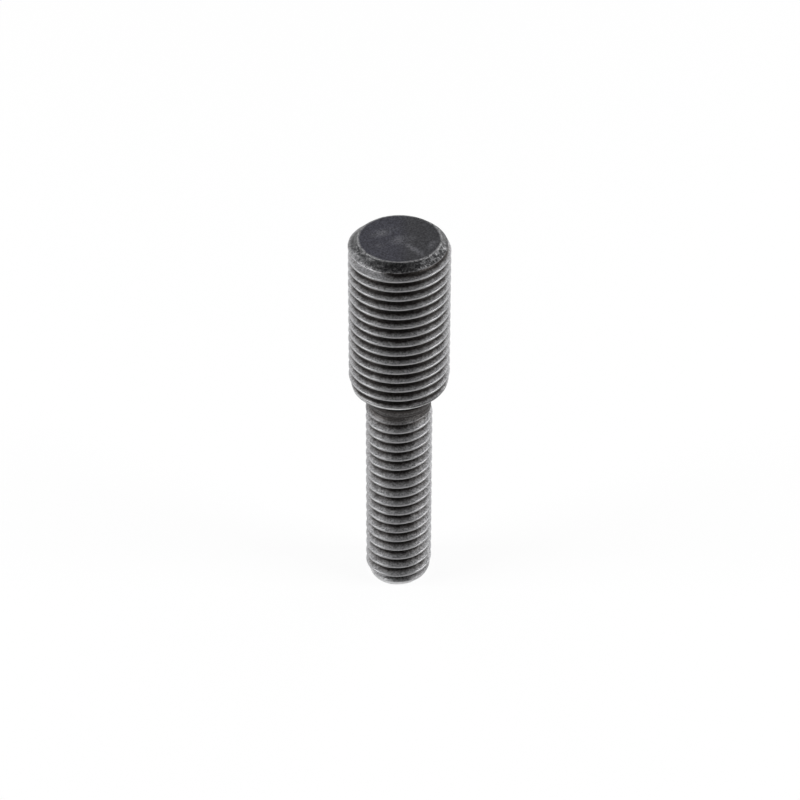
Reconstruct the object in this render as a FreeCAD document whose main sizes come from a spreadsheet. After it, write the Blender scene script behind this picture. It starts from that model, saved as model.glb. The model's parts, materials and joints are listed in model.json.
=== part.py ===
import FreeCAD, Part
import os

import Sketcher

NODE = "threaded_stud"

# Driving dimensions in millimetres, with heights measured up from the small end's flat face.
# Each thread is a plain cylinder of its major diameter.
SIZES = {
    "total_length": 56.6,
    # larger threaded end, uppermost
    "large_length": 23.9,
    "large_diameter": 13.85,
    "large_face_diameter": 11.0,
    "large_end_chamfer": 1.1,
    "large_rim_diameter": 12.9,
    "large_rim_chamfer": 1.8,
    # smaller threaded end, on which the stud stands
    "small_diameter": 9.24,
    "small_face_diameter": 7.86,
    "small_end_chamfer": 1.58,
    # plain neck between the two threads
    "neck_diameter": 8.8,
    "neck_length": 3.4,
    "neck_shoulder": 0.4,
    "neck_fillet": 0.4,
}

STEP_HEIGHT = "(Sizes.total_length - Sizes.large_length)"
NECK_BOTTOM = f"({STEP_HEIGHT} - Sizes.neck_length)"
SAME_PLACE = 1e-6


def make_sheet(doc):
    """Write the driving dimensions to a spreadsheet, one aliased cell each."""
    sheet = doc.addObject("Spreadsheet::Sheet", "Sizes")
    for row, (alias, value) in enumerate(SIZES.items(), start=1):
        sheet.set(f"A{row}", alias)
        sheet.set(f"B{row}", str(value))
        sheet.setAlias(f"B{row}", alias)
    doc.recompute()


def new_sketch(body, name):
    """A sketch on the upright plane through the axis: its X is a radius and its Y is a height."""
    sketch = body.newObject("Sketcher::SketchObject", name)
    plane = next(f for f in body.Origin.OriginFeatures if f.Role == "XZ_Plane")
    sketch.AttachmentSupport = [(plane, "")]
    sketch.MapMode = "FlatFace"
    return sketch


def bind_distance(sketch, kind, corner, expression):
    """Hold one corner of an outline at a distance from the origin, or on an axis where that is zero."""
    if expression == "0":
        axis = -2 if kind == "DistanceX" else -1
        sketch.addConstraint(Sketcher.Constraint("PointOnObject", corner, 1, axis))
        return
    value = float(sketch.evalExpression(expression))
    index = sketch.addConstraint(Sketcher.Constraint(kind, -1, 1, corner, 1, value))
    sketch.setExpression(f"Constraints[{index}]", expression)


def draw_outline(sketch, corners):
    """Draw a closed outline through corners, each a pair of expressions for its radius and its height."""
    places = [FreeCAD.Vector(*(float(sketch.evalExpression(e)) for e in corner), 0) for corner in corners]
    count = len(corners)
    for index in range(count):
        sketch.addGeometry(Part.LineSegment(places[index], places[(index + 1) % count]), False)
    for index in range(count):
        sketch.addConstraint(Sketcher.Constraint("Coincident", index, 2, (index + 1) % count, 1))
    for index, (radius, height) in enumerate(corners):
        bind_distance(sketch, "DistanceX", index, radius)
        bind_distance(sketch, "DistanceY", index, height)


def turn_blank(body):
    """Revolve the stud's outline: chamfered small end, neck, step and chamfered large end."""
    sketch = new_sketch(body, "BlankOutline")
    draw_outline(
        sketch,
        [
            ("0", "0"),
            ("Sizes.small_face_diameter / 2", "0"),
            ("Sizes.small_diameter / 2", "Sizes.small_end_chamfer"),
            ("Sizes.small_diameter / 2", f"{NECK_BOTTOM} - Sizes.neck_shoulder"),
            ("Sizes.neck_diameter / 2", NECK_BOTTOM),
            ("Sizes.neck_diameter / 2", STEP_HEIGHT),
            ("Sizes.large_rim_diameter / 2", STEP_HEIGHT),
            ("Sizes.large_diameter / 2", f"{STEP_HEIGHT} + Sizes.large_rim_chamfer"),
            ("Sizes.large_diameter / 2", "Sizes.total_length - Sizes.large_end_chamfer"),
            ("Sizes.large_face_diameter / 2", "Sizes.total_length"),
            ("0", "Sizes.total_length"),
        ],
    )
    blank = body.newObject("PartDesign::Revolution", "Blank")
    blank.Profile = sketch
    blank.ReferenceAxis = (sketch, ["V_Axis"])
    blank.Angle = 360.0
    body.Document.recompute()
    return blank


def round_neck(body, blank):
    """Round the inside corner where the neck meets the step."""
    radius = float(blank.evalExpression("Sizes.neck_diameter / 2"))
    height = float(blank.evalExpression(STEP_HEIGHT))
    corners = []
    for number, edge in enumerate(blank.Shape.Edges, start=1):
        box = edge.BoundBox
        at_step = abs(box.ZMin - height) < SAME_PLACE and box.ZLength < SAME_PLACE
        if at_step and abs(box.XMax - radius) < SAME_PLACE:
            corners.append(f"Edge{number}")
    before = body.Shape.Volume
    fillet = body.newObject("PartDesign::Fillet", "NeckFillet")
    fillet.Base = (blank, corners)
    fillet.setExpression("Radius", "Sizes.neck_fillet")
    body.Document.recompute()
    if not body.Shape.Volume > before:
        raise RuntimeError("the neck fillet added nothing")


def check_document(doc, body):
    """Stop if any object failed to rebuild or the stud isn't one valid solid."""
    for item in doc.Objects:
        if "Invalid" in item.State or "Error" in item.State:
            raise RuntimeError(f"{item.Name} failed: {item.State}")
    if body.Shape.isNull() or not body.Shape.isValid() or len(body.Shape.Solids) != 1:
        raise RuntimeError("the stud is not one valid solid")


def main():
    doc = FreeCAD.newDocument("ThreadedStud")
    make_sheet(doc)
    body = doc.addObject("PartDesign::Body", "Stud")
    body.Label = NODE
    body.Placement = FreeCAD.Placement()
    blank = turn_blank(body)
    round_neck(body, blank)
    check_document(doc, body)
    os.makedirs("parts", exist_ok=True)
    body.Shape.exportStep(f"parts/{body.Label}.step")


main()
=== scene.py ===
import json
import math

import bpy
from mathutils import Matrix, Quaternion, Vector, noise


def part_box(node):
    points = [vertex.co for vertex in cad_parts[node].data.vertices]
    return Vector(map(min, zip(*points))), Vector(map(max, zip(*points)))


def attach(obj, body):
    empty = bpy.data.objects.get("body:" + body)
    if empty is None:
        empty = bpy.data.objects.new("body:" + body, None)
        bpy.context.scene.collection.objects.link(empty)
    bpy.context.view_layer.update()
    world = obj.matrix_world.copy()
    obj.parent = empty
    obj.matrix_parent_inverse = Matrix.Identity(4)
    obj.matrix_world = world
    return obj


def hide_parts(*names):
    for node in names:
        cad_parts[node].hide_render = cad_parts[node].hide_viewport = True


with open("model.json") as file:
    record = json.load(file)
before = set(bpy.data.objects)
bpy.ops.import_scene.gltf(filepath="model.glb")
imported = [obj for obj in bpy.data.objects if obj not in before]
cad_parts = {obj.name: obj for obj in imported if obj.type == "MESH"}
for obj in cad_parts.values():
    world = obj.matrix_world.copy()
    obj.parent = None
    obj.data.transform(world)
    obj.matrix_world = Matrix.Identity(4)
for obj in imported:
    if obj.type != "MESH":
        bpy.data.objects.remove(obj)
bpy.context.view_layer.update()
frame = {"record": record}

MM = 0.001
NODE = "threaded_stud"
TURN = 2 * math.pi
FRONT = -math.pi / 2

mounts = {mount["name"]: mount for mount in frame["record"]["mounts"]}
low_corner, high_corner = (Vector(corner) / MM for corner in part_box(NODE))

# Stud sizes in millimetres, with heights from the small end's flat face
TOTAL_LENGTH = high_corner.z - low_corner.z
LARGE_LENGTH = 23.9
LARGE_RADIUS = mounts["large_thread"]["dims"]["r_mm"]
LARGE_FACE_RADIUS = 5.6
LARGE_END_CHAMFER = 1.1
LARGE_RIM_RADIUS = 6.45
LARGE_RIM_CHAMFER = 1.8
SMALL_RADIUS = mounts["small_thread"]["dims"]["r_mm"]
SMALL_FACE_RADIUS = 3.93
SMALL_END_CHAMFER = 1.58
STEP_HEIGHT = TOTAL_LENGTH - LARGE_LENGTH
NECK_LENGTH = 3.4
NECK_BOTTOM = STEP_HEIGHT - NECK_LENGTH
NECK_RADIUS = 4.4
NECK_SHOULDER = 0.4
NECK_FILLET = 0.4
EDGE_ROUND = 0.08
CORNER_ROUND = 0.05

# Threads: pitch, height of one crest on the front of the stud, and where the small one runs out
LARGE_PITCH = 1.5
LARGE_CREST_HEIGHT = 54.33
SMALL_PITCH = 1.5875
SMALL_CREST_HEIGHT = 27.53
RUN_OUT_START = 27.5
RUN_OUT_END = 31.6

# Thread profile in shares of the pitch, and the rounding of a flank's ends in shares of its depth
CREST_HALF = 0.075
ROOT_HALF = 0.085
DEPTH_SHARE = 0.6134
CREST_CROWN = 0.012
CREST_ROUND = 0.05
ROOT_ROUND = 0.16

# Dents: greatest depth in millimetres, noise scale, and the noise at which a dent is deepest
DENT_DEPTH = 0.035
DENT_SCALE = 1.1
DENT_FULL = 0.7

# Wear of the crests: the depth in the groove where it ends, and how much of it the neck takes away
CREST_WEAR_END = 0.25
NECK_WEAR_CUT = 0.8

# Worn edges: height of each, how far from it the bare metal reaches, and how strongly it shows. The lower
# rim's band is also a painted highlight, and the small end's wide band is also a painted reflection of the
# floor.
RIM_BAND_HEIGHT = STEP_HEIGHT + 0.4
LARGE_EDGES = (
    (TOTAL_LENGTH, 0.09, 1.2),
    (TOTAL_LENGTH - LARGE_END_CHAMFER, 0.4, 1.0),
    # Lower rim's worn band, brightened as a painted highlight
    (RIM_BAND_HEIGHT, 0.3, 2.2),
)
# Small end's worn band, widened and brightened as a painted reflection of the floor
SMALL_EDGES = ((0.0, 1.6, 2.4),)

# Chamfers: the gap at which the thread leaves them wholly uncut, the heights over which their
# dark grain comes in, and the lower rim's share of that grain, which there is also painted shade
UNCUT_GAP = 4 * CORNER_ROUND
CHAMFER_BLEND = 0.1
RIM_BLEND = 0.01
RIM_SHADE = 0.85

# Rubbed patch on the first turn: bearing of its middle, half its reach round the stud, and its heights
RUB_BEARING = FRONT - math.radians(48)
RUB_REACH = math.radians(55)
RUB_CORE = 0.3 * RUB_REACH
RUB_BOTTOM = 54.1
RUB_TOP = 54.7
RUB_SHARE = 0.75

# Grooves and neck: how dark each thread's grooves are, partly dirt and partly painted shade, and the heights
# over which painted shade and a black painted shadow thicken on the neck under the step
LARGE_DIRT_AND_SHADE = 1.2
SMALL_DIRT_AND_SHADE = 0.96
STEP_SHADE_BOTTOM = STEP_HEIGHT - 2.6
STEP_SHADE_TOP = STEP_HEIGHT - 1.3
STEP_SHADOW_BOTTOM = STEP_HEIGHT - 2.3
STEP_SHADOW_TOP = STEP_HEIGHT - 1.3
STEP_SHADOW_DEPTH = 1.7

# Heights over which the neck's turned finish and its dark painted shade come in
NECK_TONE_BOTTOM = NECK_BOTTOM - 1.05
NECK_TONE_TOP = NECK_BOTTOM + 0.2

# Mesh: rows across half a pitch from the crest's middle to the root's, segments round the stud,
# rings of an end face in shares of its radius, and points of the neck's fillet in degrees
HALF_ROWS = (0.0, 0.03, 0.055, 0.075, 0.095, 0.15, 0.22, 0.30, 0.37, 0.415, 0.455, 0.5)
SEGMENTS = 104
END_RINGS = (0.985, 0.95, 0.85, 0.7, 0.5, 0.25)
FILLET_TURNS = (0.0, 30.0, 60.0, 90.0)
SAME_HEIGHT_DIGITS = 5
SHARP_ANGLE = math.radians(50)

# Marks that each vertex carries for the material
MARKS = ("depth", "wear", "face", "chamfer", "neck")

# Photograph's view, in millimetres and pixels of the 800 pixel frame
CAMERA_ELEVATION = math.radians(36.9)
CAMERA_DISTANCE = 467.0
CAMERA_AIM = Vector((0.12, 0.0, 29.81))
CAMERA_ROLL = math.radians(0.18)
FOCAL_PIXELS = 3396.5
IMAGE_PIXELS = 800
SENSOR_WIDTH = 36.0
CLIP_START = 10.0

# Colours as linear values
PHOSPHATE = (0.28, 0.28, 0.287, 1.0)
PHOSPHATE_WARM = (0.215, 0.211, 0.211, 1.0)
# Dark of the thread roots and the neck: partly dirt, and partly painted shade
DIRT_AND_SHADE_DARK = (0.036, 0.0325, 0.031, 1.0)
# Black painted shadow under the step, which also darkens the large thread's deepest roots
SHADOW_AND_DIRT_BLACK = (0.004, 0.004, 0.004, 1.0)
# Neck's grey, darkened as painted shade under the step
NECK_SHADE_GREY = (0.098, 0.094, 0.093, 1.0)
WORN_STEEL = (0.30, 0.30, 0.306, 1.0)
# Bare steel of worn edges, also a painted highlight on the lower rim and a painted reflection on the small
# end
BARE_STEEL_AND_SHEEN = (0.62, 0.62, 0.625, 1.0)
FACE_SLATE = (0.058, 0.058, 0.071, 1.0)
FACE_GREY = (0.053, 0.053, 0.0575, 1.0)
SMUDGE_GREY = (0.155, 0.155, 0.168, 1.0)
CHAMFER_BLACK = (0.022, 0.022, 0.023, 1.0)
GRAIN_LIGHT = (0.30, 0.30, 0.305, 1.0)
FLOOR_WHITE = (0.95, 0.95, 0.95, 1.0)
GLOW_WHITE = (1.0, 1.0, 1.0, 1.0)
WORLD_GREY = (0.06, 0.06, 0.0615, 1.0)

# Noise in the stud's finish: scale, detail and roughness
GRAIN_NOISE = (4200.0, 3.0, 0.7)
BLOTCH_NOISE = (1100.0, 4.0, 0.6)
TURNING_NOISE = (5200.0, 2.0, 0.5)
FLECK_NOISE = (1700.0, 6.0, 0.8)
PATCH_NOISE = (420.0, 2.0, 0.5)
CLOUD_NOISE = (620.0, 3.0, 0.5)

# Stretch that turns noise into lines round the stud
TURNING_STRETCH = (0.05, 0.05, 1.0)

# Ranges in the stud's finish: the low and high ends of a value, and what they become
MOTTLE_RANGE = (0.3, 0.7, -0.14, 0.14)
WARM_RANGE = (0.10, 0.55, 0.0, 1.0)
# Brings in the grooves' dark, partly dirt and partly painted shade
DEEP_RANGE = (0.32, 0.76, 0.0, 1.0)
# Brings in the black painted shadow under the step
SHADOW_AND_DIRT_RANGE = (1.12, 1.45, 0.0, 0.8)
TURNING_RANGE = (0.38, 0.62, 0.0, 1.0)
FACE_RANGE = (-0.0005, 0.0015, 0.0, 1.0)
CLOUD_RANGE = (0.36, 0.66, 0.15, 1.0)
FLECK_RANGE = (0.48, 0.66, 0.0, 0.9)
PATCH_RANGE = (0.40, 0.60, 0.3, 1.0)
SPECKLE_RANGE = (0.36, 0.64, 0.5, 1.5)
WORN_RANGE = (0.40, 0.56, 0.1, 1.0)
BARE_RANGE = (1.0, 2.0, 0.0, 1.0)
BARE_PATCH_RANGE = (0.40, 0.56, 0.6, 1.0)
METALLIC_RANGE = (0.0, 1.0, 0.9, 0.25)
ROUGH_RANGE = (0.3, 0.7, 0.34, 0.52)

# Other values of the stud's finish, with the bump's distance in metres
NECK_ROUGHNESS = 0.14
FACE_ROUGHNESS = 0.25
SPECULAR = 0.2
BUMP_STRENGTH = 0.6
BUMP_DISTANCE = 0.00005

# Smudges on the end face: middle and half widths in millimetres, turn in degrees, and strength
SMUDGES = (
    (-2.2, 1.5, 1.7, 0.8, 30.0, 0.8),
    (0.2, -0.3, 1.5, 0.9, 15.0, 0.9),
    (1.8, -2.3, 1.9, 0.5, -52.0, 0.9),
    (-2.5, -1.6, 0.6, 0.5, 0.0, 0.6),
    (4.3, -1.4, 1.0, 0.5, 70.0, 0.6),
)
SMUDGE_CORE = 0.2
SMUDGE_RIM = 1.5
FLATTEN = (1.0, 1.0, 0.0)

# Floor in metres, and the share of what the camera sees of it that is its own glow
FLOOR_HALF = 20.0
FLOOR_DROP = 0.00002
FLOOR_GLOW = 0.92

# Studio light: name, place in metres, width and height in metres, and power in watts
LIGHTS = (
    ("left_softbox", (-0.38, 0.32, 0.17), 0.56, 0.36, 1.2),
    ("right_softbox", (0.38, 0.32, 0.17), 0.56, 0.36, 1.45),
    ("left_strip", (-0.42, -0.10, 0.21), 0.22, 0.46, 2.35),
    ("right_strip", (0.42, -0.10, 0.21), 0.22, 0.46, 2.4),
)
LIGHT_AIM = Vector((0.0, 0.0, 0.03))


def smooth_step(low, high, value):
    """Share from 0 at low to 1 at high, easing in and out."""
    share = min(max((value - low) / (high - low), 0.0), 1.0)
    return share * share * (3 - 2 * share)


def soft_min(first, second, width):
    """The smaller of two values, with a rounded corner where they cross."""
    blend = max(width - abs(first - second), 0.0)
    return min(first, second) - blend * blend / (4 * width)


def outline_radius(outline, height):
    """Radius of a turned outline, a list of height and radius pairs, at one height."""
    for (z_low, r_low), (z_high, r_high) in zip(outline, outline[1:]):
        if height <= z_high:
            share = max(height - z_low, 0.0) / (z_high - z_low)
            return r_low + share * (r_high - r_low)
    return outline[-1][1]


def thread_drop(phase, pitch):
    """Depth of the thread below its major radius, where phase 0 is the crest's middle and 0.5 the root's."""
    across = abs((phase + 0.5) % 1.0 - 0.5)
    flank = (across - CREST_HALF) / (0.5 - ROOT_HALF - CREST_HALF)
    rounded = -soft_min(-soft_min(flank, 1.0, ROOT_ROUND), 0.0, CREST_ROUND)
    crown = CREST_CROWN * (min(across, CREST_HALF) / CREST_HALF) ** 2
    return pitch * (crown + (DEPTH_SHARE - crown) * max(rounded, 0.0))


def no_fade(height):
    """The large thread keeps its depth at every height."""
    return 1.0


def run_out(height):
    """The small thread grows shallow as it climbs to the neck."""
    return 1 - smooth_step(RUN_OUT_START, RUN_OUT_END, height)


def dirty_depth(angle, height, depth):
    """Depth in the groove as its dirt and painted shade show it: less where it is rubbed, and more under the
    step, where it is painted shade and painted shadow.
    """
    bearing = abs((angle - RUB_BEARING + math.pi) % TURN - math.pi)
    rub = 1 - smooth_step(RUB_CORE, RUB_REACH, bearing)
    depth *= 1 - RUB_SHARE * rub * smooth_step(RUB_BOTTOM, RUB_TOP, height)
    if height <= STEP_HEIGHT:
        # Under the step: painted shade, then a black painted shadow
        depth = max(depth, smooth_step(STEP_SHADE_BOTTOM, STEP_SHADE_TOP, height))
        depth = max(depth, STEP_SHADOW_DEPTH * smooth_step(STEP_SHADOW_BOTTOM, STEP_SHADOW_TOP, height))
    return depth


def neck_share(height):
    """Share of the neck's turned finish at one height, which also brings in its dark painted shade."""
    if height > STEP_HEIGHT:
        return 0.0
    return smooth_step(NECK_TONE_BOTTOM, NECK_TONE_TOP, height)


def chamfer_share(height, uncut):
    """Share of the chamfers' dark grain at one height, which the thread cuts away on the lower rim; on the
    lower rim this dark is also painted shade.
    """
    if height < STEP_HEIGHT + LARGE_RIM_CHAMFER:
        # On the lower rim the dark grain is also painted shade
        return RIM_SHADE * uncut * smooth_step(STEP_HEIGHT - RIM_BLEND, STEP_HEIGHT, height)
    return smooth_step(-CHAMFER_BLEND, CHAMFER_BLEND, height - TOTAL_LENGTH + LARGE_END_CHAMFER)


def edge_wear(edges, height):
    """Wear that the strongest of the worn edges gives at one height; on the lower rim's band and the small
    end's band it also stands in for light, as painted highlight and painted reflection.
    """
    return max(
        strength * (1 - smooth_step(0.0, reach, abs(height - edge)))
        for edge, reach, strength in edges
    )


class StudMesh:
    """Vertices, faces and the marks of each vertex, gathered before the mesh is made."""

    def __init__(self):
        self.vertices = []
        self.faces = []
        self.marks = {name: [] for name in MARKS}

    def add(self, x, y, z, **marks):
        """Add one vertex, given in millimetres, and return its number. A mark that isn't given is 0."""
        self.vertices.append((x * MM, y * MM, z * MM))
        for name, values in self.marks.items():
            values.append(marks.get(name, 0.0))
        return len(self.vertices) - 1

    def bridge(self, outer, inner, upward):
        """Join two rings of the same count with quads."""
        count = len(outer)
        for at in range(count):
            after = (at + 1) % count
            loop = [outer[at], outer[after], inner[after], inner[at]]
            self.faces.append(loop if upward else loop[::-1])

    def close_end(self, rim, height, upward):
        """Close a rim with a flat face of concentric rings."""
        outer = rim
        for scale in END_RINGS:
            wear = smooth_step(END_RINGS[1], END_RINGS[0], scale)
            inner = []
            for number in rim:
                x, y, _ = (length / MM for length in self.vertices[number])
                inner.append(self.add(x * scale, y * scale, height, wear=wear, face=1.0))
            self.bridge(outer, inner, upward)
            outer = inner
        centre = self.add(0.0, 0.0, height, face=1.0)
        count = len(outer)
        for at in range(count):
            pair = [outer[at], outer[(at + 1) % count]]
            self.faces.append((pair if upward else pair[::-1]) + [centre])

    def thread_zone(self, outline, major_radius, pitch, crest_height, fade, edges, dirt_and_shade):
        """Add a stretch of the stud whose rows follow its right-hand thread. Returns its end rings."""
        low, high = outline[0][0], outline[-1][0]
        steps = list(HALF_ROWS[:-1]) + [1 - share for share in reversed(HALF_ROWS[1:])]
        per_turn = len(steps)
        first_turn = math.floor((low - crest_height) / pitch) - 1
        last_turn = math.ceil((high - crest_height) / pitch) + 1
        made = {}

        def place(angle, height):
            phase = (height - crest_height) / pitch - (angle - FRONT) / TURN
            drop = thread_drop(phase, pitch) * fade(height)
            blank = outline_radius(outline, height)
            thread = max(major_radius, blank) - drop
            radius = soft_min(blank, thread, CORNER_ROUND)
            spot = Vector((radius * math.cos(angle), radius * math.sin(angle), height))
            radius -= DENT_DEPTH * smooth_step(0.0, DENT_FULL, noise.noise(spot * DENT_SCALE))
            # Darker deeper in the groove, as dirt and painted shade
            depth = dirty_depth(angle, height, dirt_and_shade * drop / (DEPTH_SHARE * pitch))
            uncut = smooth_step(CORNER_ROUND, UNCUT_GAP, thread - blank)
            neck = neck_share(height)
            crest = 1 - smooth_step(0.0, CREST_WEAR_END * dirt_and_shade, depth)
            wear = crest * fade(height) * (1 - uncut) * (1 - NECK_WEAR_CUT * neck)
            wear = max(wear, edge_wear(edges, height))
            chamfer = chamfer_share(height, uncut)
            x, y = radius * math.cos(angle), radius * math.sin(angle)
            return self.add(x, y, height, depth=depth, wear=wear, chamfer=chamfer, neck=neck)

        def corner(row, column):
            level = first_turn + row // per_turn + steps[row % per_turn] + column / SEGMENTS
            height = min(max(crest_height + pitch * level, low), high)
            key = (column % SEGMENTS, round(height, SAME_HEIGHT_DIGITS))
            if key not in made:
                made[key] = place(FRONT + TURN * key[0] / SEGMENTS, height)
            return made[key]

        for row in range((last_turn - first_turn) * per_turn):
            for column in range(SEGMENTS):
                loop = [
                    corner(row, column),
                    corner(row, column + 1),
                    corner(row + 1, column + 1),
                    corner(row + 1, column),
                ]
                loop = [number for at, number in enumerate(loop) if number != loop[at - 1]]
                if len(set(loop)) > 2:
                    self.faces.append(loop)
        return [
            [made[column, round(height, SAME_HEIGHT_DIGITS)] for column in range(SEGMENTS)]
            for height in (low, high)
        ]


def build_stud():
    """The whole stud as one closed mesh: two threaded stretches, the step between them and two ends."""
    large_outline = [
        (STEP_HEIGHT, LARGE_RIM_RADIUS),
        (STEP_HEIGHT + LARGE_RIM_CHAMFER, LARGE_RADIUS),
        (TOTAL_LENGTH - LARGE_END_CHAMFER, LARGE_RADIUS),
        (TOTAL_LENGTH - EDGE_ROUND, LARGE_FACE_RADIUS + EDGE_ROUND),
        (TOTAL_LENGTH, LARGE_FACE_RADIUS),
    ]
    small_outline = [
        (0.0, SMALL_FACE_RADIUS),
        (SMALL_END_CHAMFER, SMALL_RADIUS),
        (NECK_BOTTOM - NECK_SHOULDER, SMALL_RADIUS),
        (NECK_BOTTOM, NECK_RADIUS),
    ]
    for turn in map(math.radians, FILLET_TURNS):
        height = STEP_HEIGHT - NECK_FILLET * (1 - math.sin(turn))
        small_outline.append((height, NECK_RADIUS + NECK_FILLET * (1 - math.cos(turn))))
    stud = StudMesh()
    small_low, small_high = stud.thread_zone(
        small_outline, SMALL_RADIUS, SMALL_PITCH, SMALL_CREST_HEIGHT, run_out, SMALL_EDGES, SMALL_DIRT_AND_SHADE
    )
    large_low, large_high = stud.thread_zone(
        large_outline, LARGE_RADIUS, LARGE_PITCH, LARGE_CREST_HEIGHT, no_fade, LARGE_EDGES, LARGE_DIRT_AND_SHADE
    )
    stud.bridge(large_low, small_high, False)
    stud.close_end(small_low, 0.0, False)
    stud.close_end(large_high, TOTAL_LENGTH, True)
    mesh = bpy.data.meshes.new("stud")
    mesh.from_pydata(stud.vertices, [], stud.faces)
    for name, values in stud.marks.items():
        layer = mesh.attributes.new(name, "FLOAT", "POINT")
        layer.data.foreach_set("value", values)
    mesh.polygons.foreach_set("use_smooth", [True] * len(mesh.polygons))
    mesh.set_sharp_from_angle(angle=SHARP_ANGLE)
    mesh.update()
    piece = bpy.data.objects.new("stud", mesh)
    bpy.context.scene.collection.objects.link(piece)
    return piece


class Nodes:
    """Short ways to add and link shader nodes in one tree."""

    # Places of the colour sockets on a mix node, which has sockets for other kinds of value too
    MIX_INPUTS = (0, 6, 7)
    MIX_OUTPUT = 2

    def __init__(self, tree):
        self.tree = tree

    def feed(self, socket, value):
        """Link a socket to another node's output, or give it a plain value."""
        if isinstance(value, bpy.types.NodeSocket):
            self.tree.links.new(value, socket)
        else:
            socket.default_value = value

    def set(self, node, name, value):
        """Feed the input that has this name."""
        self.feed(node.inputs[name], value)

    def add(self, kind, **inputs):
        """Add a node and feed its named inputs."""
        node = self.tree.nodes.new(kind)
        for name, value in inputs.items():
            self.set(node, name, value)
        return node

    def feed_all(self, node, values):
        """Feed a node's inputs in their order."""
        for socket, value in zip(node.inputs, values):
            self.feed(socket, value)

    def noise(self, coordinates, scale, detail, roughness):
        """Noise at the coordinates, between 0 and 1."""
        inputs = {"Scale": scale, "Detail": detail, "Roughness": roughness}
        return self.add("ShaderNodeTexNoise", Vector=coordinates, **inputs).outputs["Fac"]

    def remap(self, value, low, high, new_low, new_high):
        """A value that runs from low to high, moved to run from new_low to new_high and held there."""
        node = self.tree.nodes.new("ShaderNodeMapRange")
        self.feed_all(node, (value, low, high, new_low, new_high))
        return node.outputs[0]

    def maths(self, operation, *values):
        """Result of an operation on numbers."""
        node = self.tree.nodes.new("ShaderNodeMath")
        node.operation = operation
        self.feed_all(node, values)
        return node.outputs[0]

    def vector_maths(self, operation, *values):
        """Node of an operation on vectors, whose result may be a vector or a value."""
        node = self.tree.nodes.new("ShaderNodeVectorMath")
        node.operation = operation
        self.feed_all(node, values)
        return node

    def mix(self, share, first, second, blend="MIX"):
        """Colour that is the first where share is 0 and the blend with the second where it is 1."""
        node = self.tree.nodes.new("ShaderNodeMix")
        node.data_type = "RGBA"
        node.blend_type = blend
        for at, value in zip(self.MIX_INPUTS, (share, first, second)):
            self.feed(node.inputs[at], value)
        return node.outputs[self.MIX_OUTPUT]

    def attribute(self, name):
        """One of the marks that the vertices carry."""
        node = self.tree.nodes.new("ShaderNodeAttribute")
        node.attribute_name = name
        return node.outputs["Fac"]


def smudge_mask(nodes, where):
    """Share of the end face that is rubbed light: soft ovals with a cloudy edge."""
    total = 0.0
    for x, y, half_width, half_height, turn, strength in SMUDGES:
        mapping = nodes.add(
            "ShaderNodeMapping",
            Vector=where,
            Location=(x * MM, y * MM, 0.0),
            Rotation=(0.0, 0.0, math.radians(turn)),
            Scale=(half_width * MM, half_height * MM, 1.0),
        )
        mapping.vector_type = "TEXTURE"
        flat = nodes.vector_maths("MULTIPLY", mapping.outputs[0], FLATTEN)
        reach = nodes.vector_maths("LENGTH", flat.outputs[0]).outputs["Value"]
        oval = nodes.remap(reach, SMUDGE_CORE, SMUDGE_RIM, strength, 0.0)
        total = nodes.maths("MAXIMUM", total, oval)
    cloud = nodes.noise(where, *CLOUD_NOISE)
    return nodes.maths("MULTIPLY", total, nodes.remap(cloud, *CLOUD_RANGE))


def neck_colour(nodes, where):
    """Dark neck with fine turning lines round it; its dark is painted shade under the step."""
    stretched = nodes.add("ShaderNodeMapping", Vector=where, Scale=TURNING_STRETCH)
    lines = nodes.noise(stretched.outputs[0], *TURNING_NOISE)
    return nodes.mix(nodes.remap(lines, *TURNING_RANGE), DIRT_AND_SHADE_DARK, NECK_SHADE_GREY)


def face_colour(nodes, where):
    """Slate end face that is greyer on the right, with its smudges."""
    across = nodes.add("ShaderNodeSeparateXYZ", Vector=where).outputs["X"]
    slate = nodes.mix(nodes.remap(across, *FACE_RANGE), FACE_SLATE, FACE_GREY)
    return nodes.mix(smudge_mask(nodes, where), slate, SMUDGE_GREY)


def chamfer_colour(nodes, where):
    """Black chamfer with light grains that gather in patches."""
    flecks = nodes.remap(nodes.noise(where, *FLECK_NOISE), *FLECK_RANGE)
    patches = nodes.remap(nodes.noise(where, *PATCH_NOISE), *PATCH_RANGE)
    return nodes.mix(nodes.maths("MULTIPLY", flecks, patches), CHAMFER_BLACK, GRAIN_LIGHT)


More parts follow.
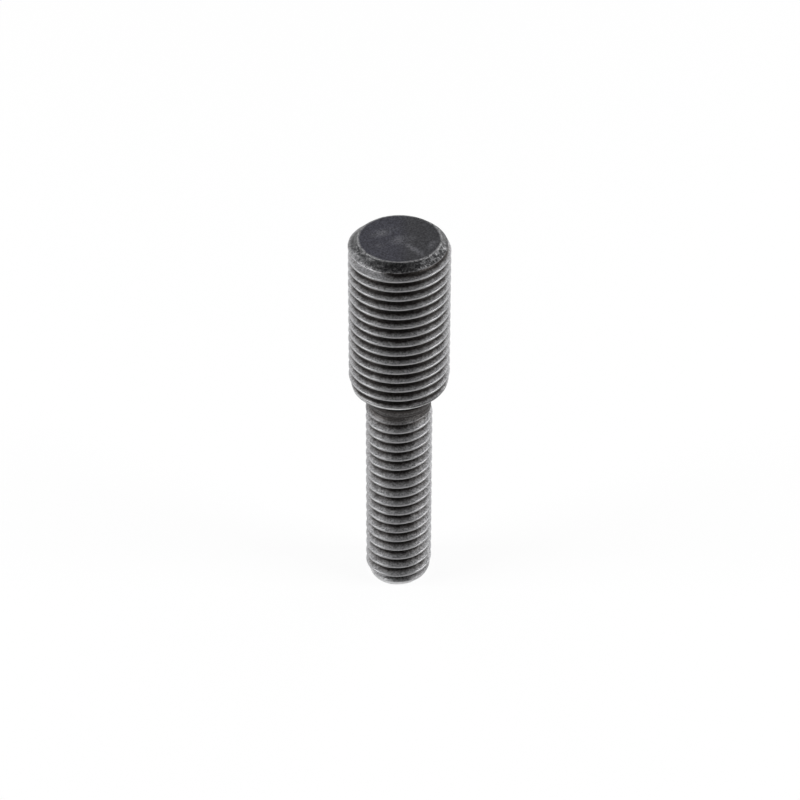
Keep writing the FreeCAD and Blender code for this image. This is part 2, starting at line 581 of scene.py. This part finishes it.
def phosphate_material():
    """Dark phosphated steel: speckled coat, black thread roots that are partly dirt and partly painted
    shade, a neck darkened as painted shade with a black painted shadow under the step, bare worn edges, two
    of them brightened as painted highlight and painted reflection, and a scuffed end face.
    """
    material = bpy.data.materials.new("phosphated_steel")
    material.use_nodes = True
    nodes = Nodes(material.node_tree)
    shader = material.node_tree.nodes["Principled BSDF"]
    where = nodes.add("ShaderNodeTexCoord").outputs["Object"]
    grain = nodes.noise(where, *GRAIN_NOISE)
    blotch = nodes.noise(where, *BLOTCH_NOISE)
    depth, wear, face, chamfer, neck = map(nodes.attribute, MARKS)
    mottle_dirt_and_shade = nodes.maths("ADD", depth, nodes.remap(blotch, *MOTTLE_RANGE))
    # Coat turns warmer and darker deeper in the groove, partly dirt and partly painted shade
    coat = nodes.mix(nodes.remap(mottle_dirt_and_shade, *WARM_RANGE), PHOSPHATE, PHOSPHATE_WARM)
    # Neck: painted shade with real turning lines
    coat = nodes.mix(neck, coat, neck_colour(nodes, where))
    # Dark grooves: partly dirt, partly painted shade
    coat = nodes.mix(nodes.remap(mottle_dirt_and_shade, *DEEP_RANGE), coat, DIRT_AND_SHADE_DARK)
    # Black painted shadow under the step, also on the large thread's deepest roots
    coat = nodes.mix(nodes.remap(depth, *SHADOW_AND_DIRT_RANGE), coat, SHADOW_AND_DIRT_BLACK)
    coat = nodes.mix(face, coat, face_colour(nodes, where))
    coat = nodes.mix(chamfer, coat, chamfer_colour(nodes, where))
    speckle = nodes.remap(grain, *SPECKLE_RANGE)
    speckle = nodes.add("ShaderNodeCombineColor", Red=speckle, Green=speckle, Blue=speckle)
    coat = nodes.mix(1.0, coat, speckle.outputs[0], "MULTIPLY")
    half_blotch = nodes.maths("MULTIPLY", blotch, 0.5)
    half_grain = nodes.maths("MULTIPLY", grain, 0.5)
    relief = nodes.maths("ADD", half_blotch, half_grain)
    worn = nodes.maths("MULTIPLY", wear, nodes.remap(relief, *WORN_RANGE))
    coat = nodes.mix(worn, coat, WORN_STEEL)
    bare_patches = nodes.remap(relief, *BARE_PATCH_RANGE)
    # Bare steel, which on the lower rim and the small end is also painted highlight and painted reflection
    bare_and_sheen = nodes.maths("MULTIPLY", nodes.remap(wear, *BARE_RANGE), bare_patches)
    nodes.set(shader, "Base Color", nodes.mix(bare_and_sheen, coat, BARE_STEEL_AND_SHEEN))
    nodes.set(shader, "Metallic", nodes.remap(face, *METALLIC_RANGE))
    nodes.set(shader, "Specular IOR Level", SPECULAR)
    rough = nodes.remap(grain, *ROUGH_RANGE)
    rough = nodes.maths("ADD", rough, nodes.maths("MULTIPLY", neck, NECK_ROUGHNESS))
    rough = nodes.maths("ADD", rough, nodes.maths("MULTIPLY", face, FACE_ROUGHNESS))
    nodes.set(shader, "Roughness", rough)
    bump = nodes.add("ShaderNodeBump", Strength=BUMP_STRENGTH, Distance=BUMP_DISTANCE, Height=relief)
    nodes.set(shader, "Normal", bump.outputs[0])
    return material


def floor_material():
    """Pale floor that reads as white to the camera and in reflections, and still takes a soft shadow."""
    material = bpy.data.materials.new("floor_white")
    material.use_nodes = True
    nodes = Nodes(material.node_tree)
    shader = material.node_tree.nodes["Principled BSDF"]
    nodes.set(shader, "Base Color", FLOOR_WHITE)
    nodes.set(shader, "Roughness", 1.0)
    nodes.set(shader, "Specular IOR Level", 0.0)
    path = nodes.add("ShaderNodeLightPath")
    seen = path.outputs["Is Camera Ray"]
    for ray in ("Is Glossy Ray", "Is Transmission Ray"):
        seen = nodes.maths("MAXIMUM", seen, path.outputs[ray])
    glow = nodes.add("ShaderNodeEmission", Color=GLOW_WHITE, Strength=1.0)
    both = nodes.add("ShaderNodeMixShader")
    share = nodes.maths("MULTIPLY", seen, FLOOR_GLOW)
    nodes.feed_all(both, (share, shader.outputs[0], glow.outputs[0]))
    nodes.set(material.node_tree.nodes["Material Output"], "Surface", both.outputs[0])
    return material


def add_floor():
    """Add a wide floor just under the stud."""
    signs = ((-1, -1), (1, -1), (1, 1), (-1, 1))
    corners = [(x * FLOOR_HALF, y * FLOOR_HALF, -FLOOR_DROP) for x, y in signs]
    mesh = bpy.data.meshes.new("floor")
    mesh.from_pydata(corners, [], [(0, 1, 2, 3)])
    floor = bpy.data.objects.new("floor", mesh)
    floor.data.materials.append(floor_material())
    bpy.context.scene.collection.objects.link(floor)


def add_lights():
    """Add the lamps, which face the stud, and a dim grey world."""
    for name, place, width, height, power in LIGHTS:
        light = bpy.data.lights.new(name, "AREA")
        light.shape = "RECTANGLE"
        light.size = width
        light.size_y = height
        light.energy = power
        lamp = bpy.data.objects.new(name, light)
        lamp.location = place
        lamp.rotation_euler = (LIGHT_AIM - lamp.location).to_track_quat("-Z", "Y").to_euler()
        bpy.context.scene.collection.objects.link(lamp)
    world = bpy.data.worlds.new("studio")
    world.use_nodes = True
    world.node_tree.nodes["Background"].inputs["Color"].default_value = WORLD_GREY
    bpy.context.scene.world = world


def add_camera():
    """Add the camera that has the photograph's view."""
    data = bpy.data.cameras.new("photo_view")
    data.sensor_width = SENSOR_WIDTH
    data.lens = FOCAL_PIXELS * SENSOR_WIDTH / IMAGE_PIXELS
    data.clip_start = CLIP_START * MM
    camera = bpy.data.objects.new("photo_view", data)
    back = Vector((0.0, -math.cos(CAMERA_ELEVATION), math.sin(CAMERA_ELEVATION)))
    roll = Quaternion((0.0, 0.0, 1.0), CAMERA_ROLL)
    camera.location = (CAMERA_AIM + CAMERA_DISTANCE * back) * MM
    camera.rotation_mode = "QUATERNION"
    camera.rotation_quaternion = (-back).to_track_quat("-Z", "Y") @ roll
    bpy.context.scene.collection.objects.link(camera)
    bpy.context.scene.camera = camera


stud = build_stud()
stud.data.materials.append(phosphate_material())
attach(stud, "root")
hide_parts(NODE)
add_floor()
add_lights()
add_camera()
bpy.context.scene.view_settings.view_transform = "Standard"
